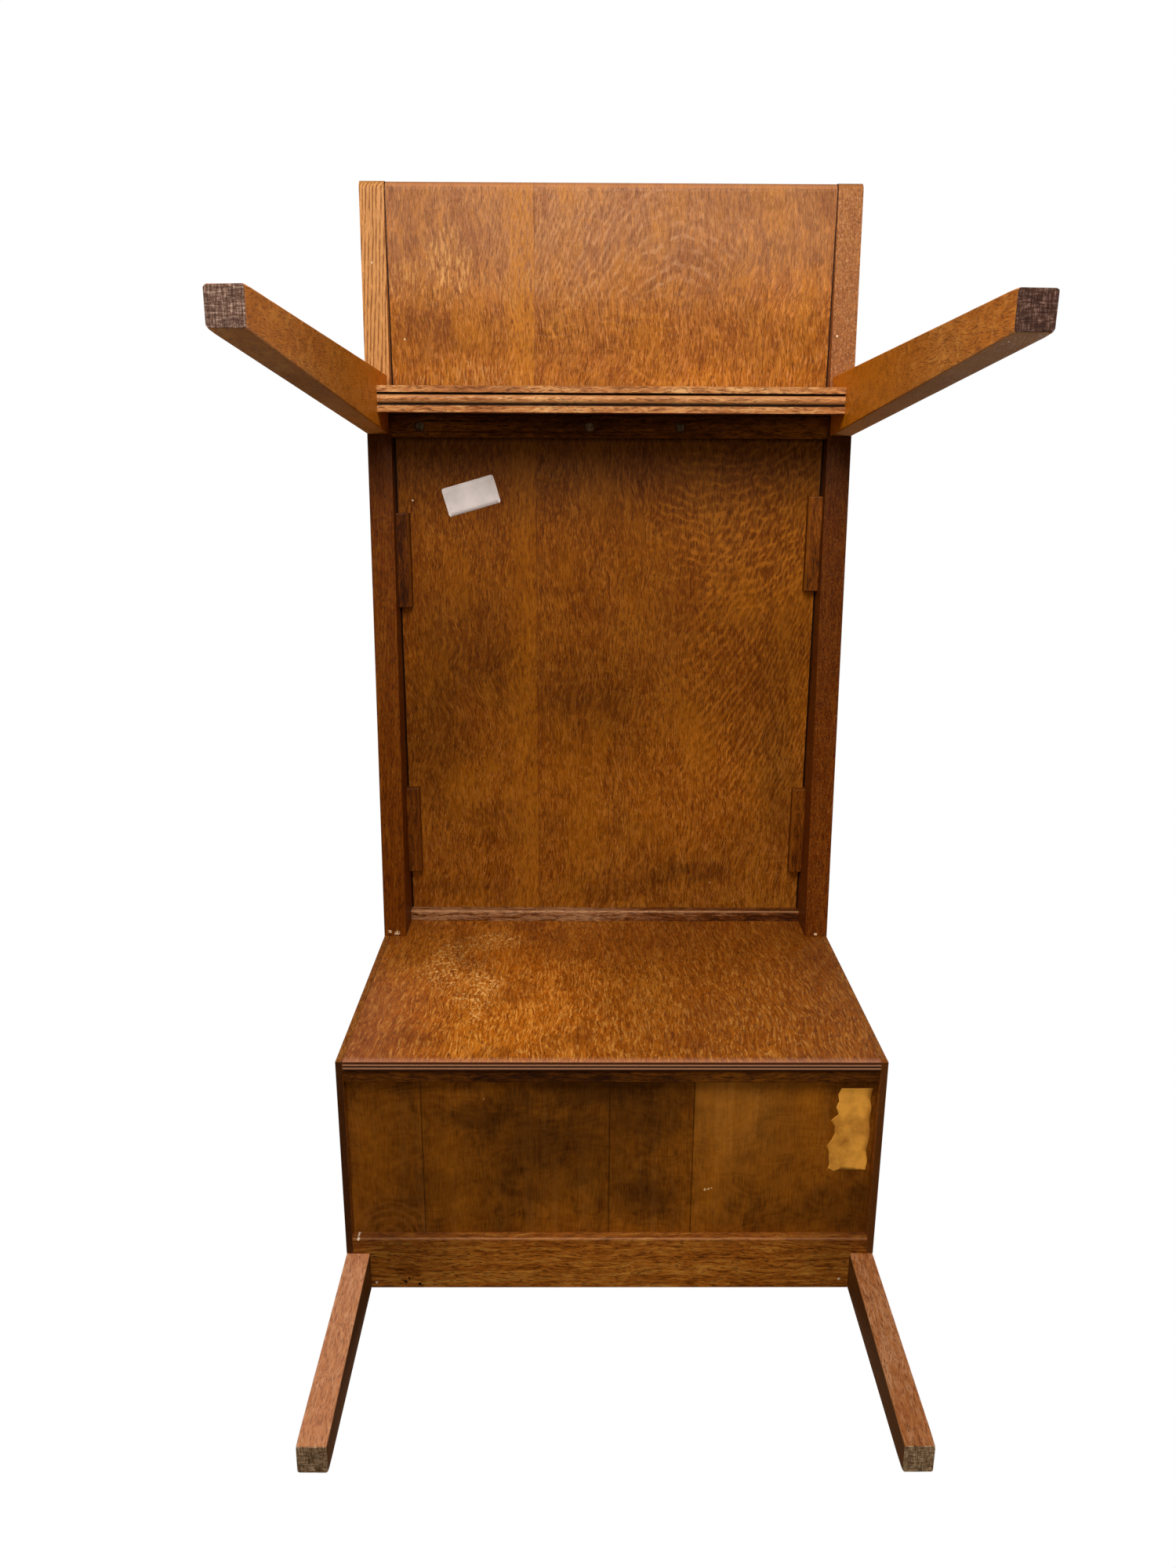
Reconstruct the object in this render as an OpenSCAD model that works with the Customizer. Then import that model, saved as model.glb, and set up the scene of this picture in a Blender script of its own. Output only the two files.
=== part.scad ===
// Single-pedestal writing desk in oak.
// X runs along the desk from the free end to the pedestal, Y from the front to
// the back, Z up. The floor is Z = 0 and the origin is at the middle of the
// desk's box, so the pedestal stands at the +X end and the top reaches out
// towards -X past one frame of two tall legs.

/* [Overall] */
// Depth across the two side boards
depth = 630; // [580:5:680]
// Height of the upper face of the top above the floor
height = 710; // [690:5:740]
// Reach of the top beyond the pedestal's inner wall
reach = 989; // [950:1:1040]
// Length of the pedestal under the top
pedestal_l = 304; // [290:1:330]
// Height of the pedestal's underside above the floor
pedestal_z = 259; // [240:1:280]

/* [Top] */
// Thickness of the top planks
top_t = 26; // [24:1:30]
// Offset of the seam between the planks from the centre line, towards the back
seam_y = 97; // [60:1:140]
// Radius of the rounded nose at the free end
nose_r = 11; // [6:1:12]
// Thickness of the side boards
side_t = 31; // [29:1:34]
// Drop of the side boards below the top's underside at the inner wall
side_drop = 69; // [55:1:85]
// Drop of the side boards below the top's underside at the free end
side_lip = 3; // [1:1:6]

/* [Legs and rail] */
// Thickness of every leg, across the desk
leg_t = 28; // [24:1:29]
// Distance from the inner wall to the outer face of the tall legs, at their top
hip_x = 758; // [720:1:790]
// Width of a tall leg at its top
hip_w = 73; // [60:1:80]
// Width of a leg at the floor
foot_w = 32; // [24:1:36]
// Outward rake of a tall leg's outer face, measured at the floor
tall_rake = 32; // [10:1:40]
// Outward splay of every leg's outer side face, measured at the floor
splay = 3.5; // [0:0.5:4]
// Width of a short leg and its post at the pedestal's underside
post_w = 48; // [40:1:60]
// Outward rake of a short leg's outer face, measured at the floor
short_rake = 9; // [2:1:14]
// Thickness of the reeded rail
rail_t = 31; // [28:1:34]
// Height of the reeded rail below the top
rail_h = 106; // [95:1:120]
// Set-back of the reeded rail from the outer face of the tall legs
rail_set = 16; // [12:1:20]
// Width and depth of each groove in the rail's lower edge
groove = 2.2; // [1.6:0.1:3]

/* [Battens and blocks] */
// Width of the screwed batten behind the reeded rail
batten_w = 28; // [22:1:32]
// Thickness of that batten
batten_t = 22; // [18:1:24]
// Distances of the batten's screws from the centre line, towards the back
screw_ys = [247, 26, -92]; // [-260:1:260]
// Radius of the screws' counterbores
counterbore_r = 6.7; // [6.2:0.1:7.5]
// Width of the glue blocks under the top
block_w = 18; // [14:1:22]
// Thickness of the glue blocks
block_t = 14; // [10:1:18]
// Length of the glue blocks
block_l = 125; // [100:1:140]
// Distance from the inner wall to the far end of the outer glue block at the back
block_back = 584; // [560:1:600]
// The same distance for the outer glue block at the front
block_front = 608; // [580:1:620]
// The same distance for the two inner glue blocks
block_inner = 202; // [160:1:260]

/* [Pedestal] */
// Thickness of the plywood inner wall
wall_t = 12; // [10:1:15]
// Thickness of the side panels
panel_t = 8; // [6:1:10]
// Thickness of the plywood bottom panel
bottom_t = 9; // [6:1:10]
// Recess of the bottom panel above the pedestal's lower edges
recess = 12; // [10:1:16]
// Width of the flat rail under the doors
flat_rail_w = 69; // [60:1:75]
// Thickness of the shelf
shelf_t = 16; // [14:1:20]
// Height of the shelf's upper face above the floor
shelf_z = 448; // [420:1:480]

/* [Doors] */
// Thickness of the doors
door_t = 18; // [16:1:20]
// Gap round each door
door_gap = 2; // [1.5:0.1:3]
// Diameter of the turned knobs
knob_d = 27; // [22:1:32]
// Projection of the knobs
knob_out = 20; // [16:1:26]
// Heights of the hinges' centres above the floor
hinge_zs = [338, 538]; // [320:1:560]
// Height of one hinge
hinge_h = 50; // [40:1:60]

/* [Hidden] */
SIDES = ["back", "front"];
$fn = 48;

half = depth / 2;
under_z = height - top_t;
total_l = reach + pedestal_l + knob_out;
x_free = -total_l / 2;
x_wall = x_free + reach;
x_end = x_wall + pedestal_l;
side_in = half - side_t;
leg_in = half - leg_t;
panel_in = half - panel_t;
slope = (side_drop - side_lip) / reach;

// Tall legs and the parts round them
hip_out = x_wall - hip_x;
hip_in = hip_out + hip_w;
rail_x = hip_out + rail_set;
tenon = [50, 10, 40];
tenon_cheek = 12;
tenon_root = 12;
fit = 0.1;
snug = 0.05;
over = 1;

// Batten and its screws. The batten stands clear of the rail by a gap
batten_gap = 2;
batten_x = rail_x + rail_t + batten_gap;
shank_r = 2.4;
head_r = 5.6;
head_t = 2.4;
slot_w = 1.2;
counterbore = 7;
bite = 15;
screw_turn = 65;

// Pedestal
inside_x = x_wall + wall_t;
post_x = x_end - post_w;
flat_rail_x = x_end - flat_rail_w;
floor_z = pedestal_z + recess;
cleat_w = 15;
cleat_h = 10;
top_cleat_w = 16;
top_cleat_h = 14;
panel_cleat_h = 16;
bearer = 14;
shelf_play = 2;
apron_t = 20;
stop_half = 40;
stop_t = 14;
stop_overlap = 18;

// Doors and hinges. The pin stands clear of the end face, in the middle of the
// gap between door and post, so a door can fold back past the post.
hinge_gap = 2.4;
leaf_t = 1;
leaf_w = 18;
pin_r = 1.25;
bore_r = 1.3;
knuckle_r = 2.6;
pin_x = x_end + knuckle_r + 0.4;
pin_y = leg_in - hinge_gap / 2;
knuckle_gap = 0.4;
knuckle_h = (hinge_h - 2 * knuckle_gap) / 3;
door_edge = leg_in - hinge_gap;
door_z0 = floor_z + bottom_t + door_gap;
door_z1 = edge_z(x_end) - door_gap;
knob_y = 30;
knob_z = 440;
spigot_r = 4;
spigot_l = 12;
pin_head_r = 2.1;
pin_head_t = 1.5;
hinge_screw_r = 1.3;
hinge_screw_head_r = 2.4;
hinge_screw_l = 12;
hinge_screw_in = 9;
hinge_screw_rise = 15;

// Height of the side boards' straight lower edge at a place along the desk
function edge_z(x) = under_z - side_drop + slope * (x_wall - x);

// A block between two opposite corners
module block(low, high) {
    translate(low) cube(high - low);
}

// A profile drawn in X and Z, drawn out along Y
module across(y0, y1) {
    translate([0, y1, 0]) rotate([90, 0, 0]) linear_extrude(y1 - y0) children();
}

// The children are drawn for the back side; the front is their mirror image
module on_side(side) {
    if (side == "back") children();
    else mirror([0, 1, 0]) children();
}

// ---- top ----

module plank_profile() {
    translate([x_free + nose_r, under_z]) square([x_end - x_free - nose_r, top_t]);
    translate([x_free, under_z + nose_r]) square([nose_r, top_t - 2 * nose_r]);
    for (z = [under_z + nose_r, height - nose_r])
        translate([x_free + nose_r, z]) circle(nose_r);
}

module top_plank(y0, y1) {
    color("#b9783f") difference() {
        across(y0, y1) plank_profile();
        for (y = screw_ys)
            translate([batten_x + batten_w / 2, y, under_z - over])
                cylinder(r = shank_r + snug, h = bite + 2 * over);
    }
}

module side_profile() {
    norm = sqrt(1 + slope * slope);
    low = edge_z(x_free + nose_r) + nose_r * norm;
    mid_x = x_free + nose_r;
    polygon([
        [mid_x - nose_r * slope / norm, low - nose_r / norm],
        [x_end, edge_z(x_end)], [x_end, height], [mid_x, height],
        [x_free, height - nose_r], [x_free, low]
    ]);
    for (z = [low, height - nose_r]) translate([mid_x, z]) circle(nose_r);
}

// The tenon on top of a tall leg, rooted in the leg and let into the side board
module leg_tenon(grow) {
    x0 = hip_out + tenon_cheek;
    y0 = half - (leg_t + tenon[1]) / 2;
    z0 = edge_z(hip_in) - tenon_root;
    block([x0 - grow, y0 - grow, z0],
          [x0 + tenon[0] + grow, y0 + tenon[1] + grow, z0 + tenon[2] + grow]);
}

module side_board() {
    color("#b5713a") difference() {
        across(side_in, half) side_profile();
        leg_tenon(fit);
    }
}

// ---- tall legs and reeded rail ----

// A leg from its top edge, between two [x, z] ends, down to its sole
module leg_blank(left, right, sole_x) {
    ends = [left, right, [sole_x + foot_w, 0], [sole_x, 0]];
    polyhedron(
        points = concat(
            [for (p = ends) [p[0], leg_in, p[1]]],
            [for (p = ends) [p[0], half + splay * (1 - p[1] / right[1]), p[1]]]
        ),
        faces = [
            [0, 1, 2, 3], [7, 6, 5, 4], [0, 4, 5, 1],
            [1, 5, 6, 2], [2, 6, 7, 3], [3, 7, 4, 0]
        ]
    );
}

module tall_leg() {
    color("#a4622c") {
        leg_blank([hip_out, edge_z(hip_out)], [hip_in, edge_z(hip_in)], hip_out - tall_rake);
        leg_tenon(0);
    }
}

// Lower edge of the rail: a flat, a round bead between two grooves, and a flat
module rail_profile() {
    z0 = under_z - rail_h;
    flat = 8;
    bead = rail_t - 2 * flat - 2 * groove;
    difference() {
        translate([0, z0]) square([rail_t, rail_h]);
        translate([flat, z0 - over]) square([rail_t - 2 * flat, over + groove + bead / 4]);
    }
    translate([rail_t / 2, z0 + bead / 2]) circle(bead / 2);
    translate([flat + groove, z0 + bead / 2]) square([bead, bead]);
}

module reeded_rail() {
    shoulder_z = edge_z(rail_x + rail_t) - over;
    color("#b0733c") difference() {
        across(-leg_in, leg_in) translate([rail_x, 0]) rail_profile();
        for (y = [-half, side_in])
            block([rail_x - over, y, shoulder_z], [rail_x + rail_t + over, y + side_t, height]);
    }
}

module rail_batten() {
    z0 = under_z - batten_t;
    color("#4a2c14") difference() {
        block([batten_x, -side_in, z0], [batten_x + batten_w, side_in, under_z]);
        for (y = screw_ys) translate([batten_x + batten_w / 2, y, z0 - over]) {
            cylinder(r = counterbore_r, h = counterbore + over);
            cylinder(r = shank_r + 3 * fit, h = batten_t + 2 * over);
        }
    }
}

module slotted_screw(length) {
    difference() {
        union() {
            cylinder(r = head_r, h = head_t);
            cylinder(r = shank_r, h = length);
        }
        translate([-head_r - over, -slot_w / 2, -over])
            cube([2 * (head_r + over), slot_w, 2 * over]);
    }
}

module batten_screws() {
    z0 = under_z - batten_t + counterbore - head_t;
    color("#6d665c") for (i = [0 : len(screw_ys) - 1])
        translate([batten_x + batten_w / 2, screw_ys[i], z0])
            rotate([0, 0, screw_turn * (i + 1)]) slotted_screw(under_z + bite - z0);
}

// A block in the corner between the top and a side board
module glue_block(from_wall) {
    x0 = x_wall - from_wall;
    chamfer = 3;
    color("#6e4420") translate([x0, 0, 0]) rotate([90, 0, 90]) linear_extrude(block_l)
        polygon([
            [side_in, under_z], [side_in - block_w, under_z],
            [side_in - block_w, under_z - block_t + chamfer],
            [side_in - block_w + chamfer, under_z - block_t], [side_in, under_z - block_t]
        ]);
}

// ---- pedestal ----

module top_cleat() {
    r = 4;
    x0 = x_wall - top_cleat_w;
    z0 = under_z - top_cleat_h;
    color("#7a4a22") across(-side_in, side_in) {
        translate([x0 + r, z0]) square([top_cleat_w - r, top_cleat_h]);
        translate([x0, z0 + r]) square([top_cleat_w, top_cleat_h - r]);
        translate([x0 + r, z0 + r]) circle(r);
    }
}

module inner_wall() {
    shoulder_z = edge_z(inside_x);
    color("#a25a2a") {
        block([x_wall, -panel_in, pedestal_z], [inside_x, panel_in, shoulder_z]);
        block([x_wall, -side_in, shoulder_z], [inside_x, side_in, under_z]);
    }
}

module side_panel() {
    color("#8a5226") across(panel_in, half) polygon([
        [x_wall, pedestal_z], [post_x, pedestal_z],
        [post_x, edge_z(post_x)], [x_wall, edge_z(x_wall)]
    ]);
}

module short_leg() {
    color("#b5713a") difference() {
        union() {
            across(leg_in, half) polygon([
                [post_x, edge_z(post_x)], [x_end, edge_z(x_end)],
                [x_end, pedestal_z], [post_x, pedestal_z]
            ]);
            leg_blank([post_x, pedestal_z], [x_end, pedestal_z], x_end + short_rake - foot_w);
        }
        at_leaf_screws() translate([0, leg_in - leaf_t, 0]) mirror([0, 1, 0]) pilot();
    }
}

module bottom_panel() {
    color("#6b4420")
        block([inside_x, -panel_in, floor_z], [flat_rail_x, panel_in, floor_z + bottom_t]);
}

module bottom_cleat() {
    color("#5a3519")
        block([inside_x, -panel_in, floor_z - cleat_h], [inside_x + cleat_w, panel_in, floor_z]);
}

module bottom_rail() {
    r = 3;
    top = floor_z + bottom_t;
    color("#7c4d22") {
        across(-panel_in, panel_in) {
            translate([flat_rail_x + r, pedestal_z])
                square([post_x - flat_rail_x - r, top - pedestal_z]);
            translate([flat_rail_x, pedestal_z + r])
                square([post_x - flat_rail_x, top - pedestal_z - r]);
            translate([flat_rail_x + r, pedestal_z + r]) circle(r);
        }
        block([post_x, -leg_in, pedestal_z], [x_end, leg_in, top]);
    }
}

module end_apron() {
    color("#b5713a")
        block([x_end - apron_t, -side_in, edge_z(x_end)], [x_end, side_in, under_z]);
}

// A block on the apron's inner face whose toe both doors close against
module door_stop() {
    back_x = x_end - apron_t;
    z0 = door_z1 - stop_overlap;
    color("#7a4a22") {
        block([back_x - stop_t, -stop_half, z0], [back_x, stop_half, under_z - stop_half]);
        block([back_x, -stop_half, z0], [x_end - door_t - 5 * fit, stop_half, door_z1]);
    }
}

// Strip in the corner between a side board's lower edge and the side panel
module panel_cleat() {
    x0 = inside_x + over;
    x1 = post_x - over;
    color("#7a4a22") across(panel_in - panel_cleat_h - over, panel_in) polygon([
        [x0, edge_z(x0) - panel_cleat_h], [x1, edge_z(x1) - panel_cleat_h],
        [x1, edge_z(x1)], [x0, edge_z(x0)]
    ]);
}

module shelf() {
    color("#9a6230")
        block([inside_x + shelf_play, shelf_play - panel_in, shelf_z - shelf_t],
              [post_x - shelf_play, panel_in - shelf_play, shelf_z]);
}

module shelf_bearer() {
    top = shelf_z - shelf_t;
    color("#7a4a22") block([inside_x + 4 * shelf_play, panel_in - bearer, top - bearer],
                           [post_x - 3 * shelf_play, panel_in, top]);
}

// ---- doors ----

// Places of one leaf's two screws
module at_leaf_screws() {
    for (z = hinge_zs, dz = [-hinge_screw_rise, hinge_screw_rise])
        translate([x_end - hinge_screw_in, 0, z + dz]) children();
}

// The hole for a leaf's screw, towards -Y
module pilot() {
    rotate([90, 0, 0])
        cylinder(r = hinge_screw_r + snug, h = hinge_screw_l + over);
}

module door() {
    color("#ad6f38") difference() {
        block([x_end - door_t, door_gap / 2, door_z0], [x_end, door_edge, door_z1]);
        translate([x_end - spigot_l - 5 * fit, knob_y, knob_z]) rotate([0, 90, 0])
            cylinder(r = spigot_r + snug, h = door_t);
        at_leaf_screws() translate([0, door_edge + leaf_t, 0]) pilot();
    }
}

module knob() {
    waist = 6.5;
    head = 8;
    color("#8a5226") translate([x_end, knob_y, knob_z]) rotate([0, 90, 0]) {
        translate([0, 0, -spigot_l]) cylinder(r = spigot_r, h = spigot_l + over);
        cylinder(r = waist, h = knob_out - head);
        translate([0, 0, knob_out - head]) rotate_extrude() {
            square([knob_d / 2 - head / 2, head]);
            translate([knob_d / 2 - head / 2, head / 2]) circle(head / 2);
        }
    }
}

// Screws stand flush in countersinks, pointing from the leaf into the wood
module leaf_screw(grow) {
    rotate([90, 0, 0]) {
        cylinder(r1 = hinge_screw_head_r + grow, r2 = hinge_screw_r + grow, h = leaf_t);
        cylinder(r = hinge_screw_r + grow, h = hinge_screw_l);
    }
}

// A leaf against the plane y = 0, thickness towards +Y; its knuckles are the
// listed thirds of the hinge, counted from the bottom
module hinge_leaf(z, thirds, axis_y) {
    step = knuckle_h + knuckle_gap;
    plate_x = x_end - leaf_w;
    difference() {
        union() {
            block([plate_x, 0, z - hinge_h / 2], [x_end - 2 * fit, leaf_t, z + hinge_h / 2]);
            for (i = thirds) translate([0, 0, z - hinge_h / 2 + i * step]) {
                block([x_end - over, 0, 0], [pin_x, leaf_t, knuckle_h]);
                translate([pin_x, axis_y, 0]) cylinder(r = knuckle_r, h = knuckle_h);
            }
        }
        translate([pin_x, axis_y, z - hinge_h]) cylinder(r = bore_r, h = 2 * hinge_h);
    }
}

module post_leaves() {
    color("#8c7440") difference() {
        for (z = hinge_zs) translate([0, leg_in - leaf_t, 0])
            hinge_leaf(z, [0, 2], pin_y - leg_in + leaf_t);
        at_leaf_screws() translate([0, leg_in - leaf_t, 0]) mirror([0, 1, 0]) leaf_screw(snug);
    }
}

module door_leaves() {
    color("#8c7440") difference() {
        for (z = hinge_zs) translate([0, door_edge, 0])
            hinge_leaf(z, [1], pin_y - door_edge);
        at_leaf_screws() translate([0, door_edge + leaf_t, 0]) leaf_screw(snug);
    }
}

module post_leaf_screws() {
    color("#8c7440") at_leaf_screws() translate([0, leg_in - leaf_t, 0])
        mirror([0, 1, 0]) leaf_screw(0);
}

module door_leaf_screws() {
    color("#8c7440") at_leaf_screws() translate([0, door_edge + leaf_t, 0]) leaf_screw(0);
}

module hinge_pins() {
    color("#a08748") for (z = hinge_zs) translate([pin_x, pin_y, z - hinge_h / 2]) {
        translate([0, 0, -fit - pin_head_t]) cylinder(r = pin_head_r, h = pin_head_t);
        translate([0, 0, -fit]) cylinder(r = pin_r, h = hinge_h + 2 * fit);
        translate([0, 0, hinge_h + fit]) cylinder(r = pin_head_r, h = pin_head_t);
    }
}

top_plank(seam_y, side_in);  // top_plank_back
top_plank(-side_in, seam_y);  // top_plank_front
reeded_rail();
rail_batten();
batten_screws();
glue_block(block_back);  // glue_block_back_outer
glue_block(block_inner);  // glue_block_back_inner
mirror([0, 1, 0]) glue_block(block_front);  // glue_block_front_outer
mirror([0, 1, 0]) glue_block(block_inner);  // glue_block_front_inner
top_cleat();
inner_wall();
bottom_panel();
bottom_cleat();
bottom_rail();
end_apron();
door_stop();
shelf();
for (side = SIDES) on_side(side) {
    side_board();
    tall_leg();
    side_panel();
    short_leg();
    panel_cleat();
    shelf_bearer();
    post_leaves();
    post_leaf_screws();
    hinge_pins();
    door();
    knob();
    door_leaves();
    door_leaf_screws();
}
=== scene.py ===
"""Looks of the single-pedestal oak writing desk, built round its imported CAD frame.

Everything is in metres. X runs from the free end to the pedestal, Y from the front
to the back, Z up, and the floor is Z = 0. The camera looks up from below the floor,
so the floor is clear from underneath and pale from above.
"""

import math
import random

import bmesh
import bpy
from mathutils import Matrix, Vector, noise


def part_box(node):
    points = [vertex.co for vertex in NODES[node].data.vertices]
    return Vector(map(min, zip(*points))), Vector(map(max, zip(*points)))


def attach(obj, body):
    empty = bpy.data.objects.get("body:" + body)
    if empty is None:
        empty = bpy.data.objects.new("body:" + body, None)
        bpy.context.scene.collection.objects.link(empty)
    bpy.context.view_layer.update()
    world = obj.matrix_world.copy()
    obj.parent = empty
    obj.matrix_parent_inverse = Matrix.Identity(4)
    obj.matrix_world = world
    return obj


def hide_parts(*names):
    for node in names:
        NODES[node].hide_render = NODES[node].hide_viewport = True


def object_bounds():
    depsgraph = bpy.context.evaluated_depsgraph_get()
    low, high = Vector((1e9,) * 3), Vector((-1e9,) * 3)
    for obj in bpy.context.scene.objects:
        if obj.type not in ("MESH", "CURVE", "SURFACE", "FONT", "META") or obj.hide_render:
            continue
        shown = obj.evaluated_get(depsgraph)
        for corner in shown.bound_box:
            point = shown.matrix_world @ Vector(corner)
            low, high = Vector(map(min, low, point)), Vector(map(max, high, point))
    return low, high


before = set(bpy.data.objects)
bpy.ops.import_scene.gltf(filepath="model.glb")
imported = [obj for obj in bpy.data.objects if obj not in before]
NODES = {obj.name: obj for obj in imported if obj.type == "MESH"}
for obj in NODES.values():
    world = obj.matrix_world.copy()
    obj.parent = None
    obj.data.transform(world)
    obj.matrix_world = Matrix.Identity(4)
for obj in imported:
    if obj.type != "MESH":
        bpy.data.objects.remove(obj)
CAD_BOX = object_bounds()
SIDES = ("back", "front")
MM = 0.001
CARCASS = "carcass"

WALL_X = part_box("inner_wall")[0].x
WALL_BACK_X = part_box("inner_wall")[1].x
FREE_X = CAD_BOX[0].x
RAIL_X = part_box("reeded_rail")[0].x
UNDER_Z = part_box("glue_block_back_outer")[1].z
PANEL_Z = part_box("bottom_panel")[0].z
BOARD_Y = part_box("top_plank_back")[1].y
SEAM_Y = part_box("top_plank_back")[0].y
FRONT_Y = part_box("top_plank_front")[0].y
VENEER_SEAMS = (0.221, 0.002, -0.096)  # Y of the joints in the bottom panel's veneer
GROWTH_LINE = 4.6 * MM  # spacing of the growth lines on the back side board
FOOT = 20 * MM  # height up to which a leg's foot is worn
ARRIS = 1.4 * MM  # radius of a leg's arrises
HINGE_PARTS = (
    "post_leaves", "door_leaves", "hinge_pins", "post_leaf_screws", "door_leaf_screws",
)


# ---- colours and shader graphs ----


def tone(code):
    """A display colour such as "b9783f" as linear red, green, blue and alpha."""
    parts = [int(code[i : i + 2], 16) / 255 for i in (0, 2, 4)]
    return tuple(c / 12.92 if c < 0.04045 else ((c + 0.055) / 1.055) ** 2.4 for c in parts) + (1.0,)


class Graph:
    """A Principled material, and short names for the nodes that feed it."""

    def __init__(self, name, **constants):
        self.material = bpy.data.materials.new(name)
        self.material.use_nodes = True
        self.tree = self.material.node_tree
        self.tree.nodes.clear()
        self.surface = self.tree.nodes.new("ShaderNodeOutputMaterial").inputs[0]
        self.shader = self.tree.nodes.new("ShaderNodeBsdfPrincipled")
        self.feed(self.surface, self.shader.outputs[0])
        for socket, value in constants.items():
            self.shader.inputs[socket.replace("_", " ")].default_value = value

    def feed(self, socket, value):
        if isinstance(value, bpy.types.NodeSocket):
            self.tree.links.new(value, socket)
        else:
            socket.default_value = value

    def node(self, kind, values=(), **settings):
        made = self.tree.nodes.new(kind)
        for key, value in settings.items():
            setattr(made, key, value)
        for key, value in dict(values).items():
            self.feed(made.inputs[key], value)
        return made

    def place(self):
        return self.node("ShaderNodeTexCoord").outputs["Object"]

    def normal(self):
        return self.node("ShaderNodeTexCoord").outputs["Normal"]

    def split(self, vector):
        return self.node("ShaderNodeSeparateXYZ", {0: vector}).outputs

    def join(self, x, y, z):
        return self.node("ShaderNodeCombineXYZ", {0: x, 1: y, 2: z}).outputs[0]

    def scaled(self, vector, scale, move=(0, 0, 0)):
        values = {"Vector": vector, "Scale": scale, "Location": move}
        return self.node("ShaderNodeMapping", values).outputs[0]

    def math(self, operation, *inputs, clamp=False):
        values = dict(enumerate(inputs))
        return self.node("ShaderNodeMath", values, operation=operation, use_clamp=clamp).outputs[0]

    def times(self, a, b):
        return self.math("MULTIPLY", a, b)

    def plus(self, a, b):
        return self.math("ADD", a, b)

    def minus(self, a, b):
        return self.math("SUBTRACT", a, b)

    def line(self, value, slope, base):
        """A straight line: the value times a slope, plus a base."""
        return self.math("MULTIPLY_ADD", value, slope, base)

    def apart(self, a, b):
        return self.math("ABSOLUTE", self.minus(a, b))

    def larger(self, a, b):
        return self.math("MAXIMUM", a, b)

    def wave(self, value, spacing):
        """A sine wave along the value, its crests a spacing apart."""
        return self.math("SINE", self.times(value, 2 * math.pi / spacing))

    def length(self, u, v):
        return self.math("SQRT", self.plus(self.times(u, u), self.times(v, v)))

    def add_vectors(self, a, b, scale):
        grown = self.node("ShaderNodeVectorMath", {0: b, "Scale": scale}, operation="SCALE")
        return self.node("ShaderNodeVectorMath", {0: a, 1: grown.outputs[0]}).outputs[0]

    def grain(self, vector, detail=2.0, rough=0.5, distortion=0.0):
        values = {"Vector": vector, "Scale": 1.0, "Detail": detail}
        values.update({"Roughness": rough, "Distortion": distortion})
        return self.node("ShaderNodeTexNoise", values)

    def noise(self, vector, scale, detail=2.0, rough=0.5, move=(0, 0, 0), distortion=0.0):
        """Grey noise with a scale for each axis, moved so that no two are alike."""
        return self.grain(self.scaled(vector, scale, move), detail, rough, distortion).outputs[0]

    def bent(self, vector, scale, amount, detail=2.0):
        """The vector, led astray by coloured noise."""
        stir = self.grain(self.scaled(vector, scale), detail).outputs[1]
        return self.add_vectors(vector, stir, amount)

    def ramp(self, factor, *stops):
        """A ramp through (place, value) stops, where a value is a number or a colour."""
        made = self.node("ShaderNodeValToRGB", {"Fac": factor})
        elements = made.color_ramp.elements
        while len(elements) < len(stops):
            elements.new(0.5)
        for element, (place, value) in zip(elements, stops):
            element.position = place
            element.color = value if isinstance(value, tuple) else (value, value, value, 1.0)
        return made.outputs["Color"]

    def mix(self, factor, a, b, blend="MIX"):
        """Mixes two colours, which are the sockets 6 and 7 of a Mix node."""
        made = self.node("ShaderNodeMix", data_type="RGBA", blend_type=blend)
        for key, value in (("Factor", factor), (6, a), (7, b)):
            self.feed(made.inputs[key], value)
        return made.outputs[2]

    def tint(self, colour, mask, amount, shade):
        """The colour, mixed with some of a shade where the mask is 1."""
        return self.mix(self.times(mask, amount), colour, tone(shade))

    def step(self, value, low, high):
        """0 at low, 1 at high, smooth between, where low may be the larger of the two."""
        values = {"Value": value, "From Min": low, "From Max": high}
        return self.node("ShaderNodeMapRange", values, interpolation_type="SMOOTHSTEP").outputs[0]

    def finish(self, colour, roughness, height, distance=0.0006, strength=0.6):
        self.feed(self.shader.inputs["Base Color"], colour)
        self.feed(self.shader.inputs["Roughness"], roughness)
        values = {"Height": height, "Distance": distance, "Strength": strength}
        bump = self.node("ShaderNodeBump", values)
        self.feed(self.shader.inputs["Normal"], bump.outputs[0])
        return self.material


# ---- masks and marks ----


def along(graph, axis):
    """Object places, with the direction of the grain first."""
    x, y, z = graph.split(graph.place())
    order = {"X": (x, y, z), "Y": (y, z, x), "Z": (z, x, y)}[axis]
    return graph.join(*order)


def lengthways(graph):
    """Object places, gently bent so that long marks wander off the grain."""
    return graph.bent(graph.place(), (9, 6, 9), 0.05)


def worn_edge(graph):
    """1 on arrises, where the normal points along no axis, and 0 on the flats."""
    x, y, z = (graph.math("ABSOLUTE", part) for part in graph.split(graph.normal()))
    return graph.step(graph.larger(graph.larger(x, y), z), 0.985, 0.86)


def outward(graph):
    """1 on faces that look away from the middle of the desk's depth, -1 on those towards it."""
    side = graph.math("SIGN", graph.split(graph.place())[1])
    return graph.times(graph.split(graph.normal())[1], side)


def overhang(graph):
    """1 at the free end, 0 behind the reeded rail."""
    return graph.step(graph.split(graph.place())[0], RAIL_X + 0.03, RAIL_X)


def hidden_side(graph, marked, plain):
    """The marked colour, but the plain one on faces that look up or away from the middle."""
    up = graph.split(graph.normal())[2]
    return graph.mix(graph.step(graph.larger(outward(graph), up), 0.5, 0.8), marked, plain)


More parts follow.
